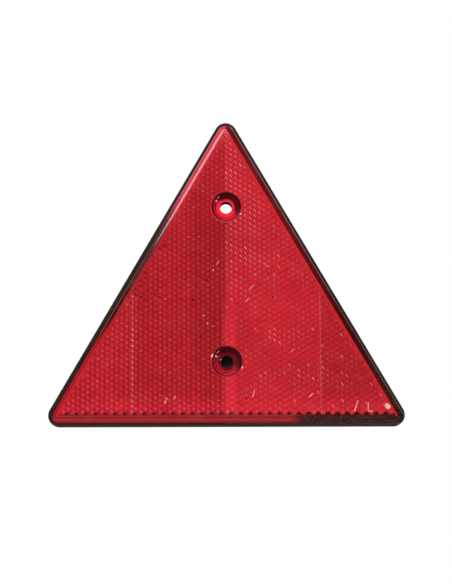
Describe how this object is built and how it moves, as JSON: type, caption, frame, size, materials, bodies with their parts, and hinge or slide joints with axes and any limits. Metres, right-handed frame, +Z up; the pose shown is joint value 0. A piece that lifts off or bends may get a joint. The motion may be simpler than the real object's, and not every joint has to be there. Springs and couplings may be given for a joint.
{
  "type": "triangular reflector",
  "caption": "Red triangular rear reflector for trailers and caravans: prismatic lens in a black tray, fixed by screws on its upright centre line.",
  "frame": {"origin": "centre of the upper screw hole on the back face", "axes": "+Z up as fitted, towards the apex; -Y out of the reflecting face; +X to the right seen from the front"},
  "size_m": [0.158, 0.008, 0.1382],
  "materials": {
    "red_lens": "polished transparent red acrylic, worn and dusty",
    "black_tray": "moulded black plastic, satin"
  },
  "bodies": {
    "root": {"lens": "red_lens", "back_plate": "black_tray"}
  },
  "joints": []
}
